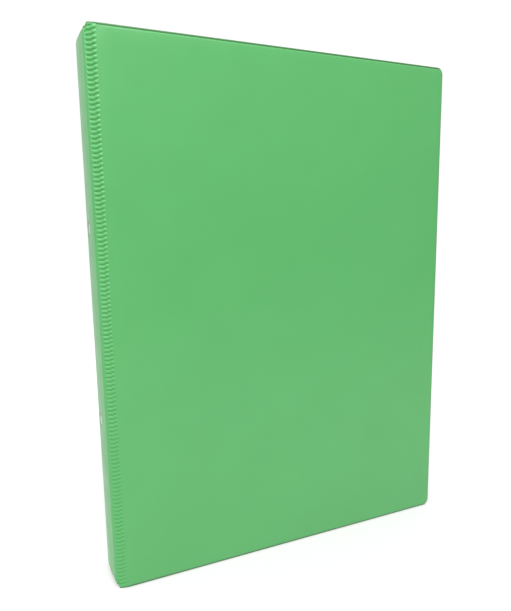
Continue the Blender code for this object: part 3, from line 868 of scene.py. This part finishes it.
for side_label, side_sign in SIDES.items():
    cover_skin(side_label, side_sign)
    cover_lining(side_label, side_sign)
    hinge_strip(side_label, side_sign)
    polished_copy(side_label + "_blade", "ring_" + side_label, 0.08)
    for ring_level in ("upper", "lower"):
        ring_wire(ring_level, side_label, side_sign)
spine_skin()
spine_stiffener()
spine_lining()
for rivet_name in RIVETS:
    rivet(rivet_name)
polished_copy("ring_housing", "spine", 0.1)
for leaf_index in range(1, LEAVES + 1):
    leaf_card(leaf_index)
    for side_label, side_sign in SIDES.items():
        pocket_strips(leaf_index, side_label, side_sign)


# ---------------------------------------------------------------- studio

def soft_range(tree, source, limits, values):
    """A smooth change of brightness along one direction."""
    fade = range_node(tree, source, limits, values)
    fade.interpolation_type = "SMOOTHSTEP"
    return fade


def studio_floor(albedo, front_glow, back_glow):
    """A flat, pale floor that glows a little, and more towards its back (+Y)."""
    bpy.ops.mesh.primitive_plane_add(size=1.6, location=(0, 0.15, 0))
    floor = bpy.context.object
    floor.name = "floor"
    material, tree, shader = new_material("floor")
    shader.inputs["Base Color"].default_value = (albedo, albedo, albedo, 1.0)
    shader.inputs["Roughness"].default_value = 0.9
    shader.inputs["Emission Color"].default_value = (1.0, 1.0, 1.0, 1.0)
    place = tree.nodes.new("ShaderNodeTexCoord")
    split = tree.nodes.new("ShaderNodeSeparateXYZ")
    tree.links.new(place.outputs["Object"], split.inputs["Vector"])
    lit = soft_range(tree, split.outputs["Y"], (-0.2, 0.35), (front_glow, back_glow))
    tree.links.new(lit.outputs["Result"], shader.inputs["Emission Strength"])
    shader.inputs["Specular IOR Level"].default_value = 0.0
    floor.data.materials.append(material)


def studio_world(behind, above, below):
    """A white studio: brightest behind the album (+Y), and dimmer before it, more so below."""
    world = bpy.data.worlds.new("studio")
    bpy.context.scene.world = world
    world.use_nodes = True
    tree = world.node_tree
    place = tree.nodes.new("ShaderNodeTexCoord")
    split = tree.nodes.new("ShaderNodeSeparateXYZ")
    tree.links.new(place.outputs["Generated"], split.inputs["Vector"])
    height = soft_range(tree, split.outputs["Z"], (-0.5, 0.7), (below, above))
    depth = soft_range(tree, split.outputs["Y"], (0.0, 0.45), (0.0, behind))
    tree.links.new(height.outputs["Result"], depth.inputs["To Min"])
    background = tree.nodes["Background"]
    background.inputs["Color"].default_value = (1.0, 1.0, 1.0, 1.0)
    tree.links.new(depth.outputs["Result"], background.inputs["Strength"])


def soft_light(name, place, target, size, watts):
    """A square area light at place, in metres, facing target."""
    data = bpy.data.lights.new(name, "AREA")
    data.shape = "SQUARE"
    data.size = size
    data.energy = watts
    light = add_object(name, data)
    light.location = place
    aim = Vector(target) - Vector(place)
    light.rotation_euler = aim.to_track_quat("-Z", "Y").to_euler()


# The camera's place in metres, its angles in degrees and its lens
CAMERA_PLACE = (-0.155291, -0.307659, 0.208614)
CAMERA_AZIMUTH = -23.273
CAMERA_ELEVATION = 8.614
CAMERA_ROLL = -1.079
CAMERA_LENS = 31.03
CAMERA_SHIFT = (0.01457, 0.00894)
CAMERA_SENSOR = 36.0


def photo_camera():
    """A camera at the photograph's viewing angle, off to the spine side of the front cover."""
    azimuth, elevation, roll = (math.radians(angle) for angle in
                                (CAMERA_AZIMUTH, CAMERA_ELEVATION, CAMERA_ROLL))
    back = Vector((math.sin(azimuth) * math.cos(elevation),
                   -math.cos(azimuth) * math.cos(elevation), math.sin(elevation)))
    right = Vector((0, 0, 1)).cross(back).normalized()
    up = back.cross(right)
    turned_right = right * math.cos(roll) + up * math.sin(roll)
    turned_up = up * math.cos(roll) - right * math.sin(roll)
    data = bpy.data.cameras.new("camera")
    data.sensor_fit = "VERTICAL"
    data.sensor_height = CAMERA_SENSOR
    data.sensor_width = CAMERA_SENSOR
    data.lens = CAMERA_LENS
    data.shift_x, data.shift_y = CAMERA_SHIFT
    data.clip_start = 0.01
    camera = add_object("camera", data)
    axes = Matrix((turned_right, turned_up, back)).transposed().to_4x4()
    camera.matrix_world = Matrix.Translation(CAMERA_PLACE) @ axes
    bpy.context.scene.camera = camera


studio_floor(albedo=0.5, front_glow=0.45, back_glow=0.62)
studio_world(behind=1.02, above=0.6, below=0.22)
soft_light("key", place=(-0.2, -0.6, 1.05), target=(0, 0, 0.16), size=0.6, watts=10.8)
soft_light("side", place=(-0.45, -0.38, 0.55), target=(-0.1, 0, 0.3), size=0.2, watts=0.6)
photo_camera()
bpy.context.scene.view_settings.view_transform = "Standard"
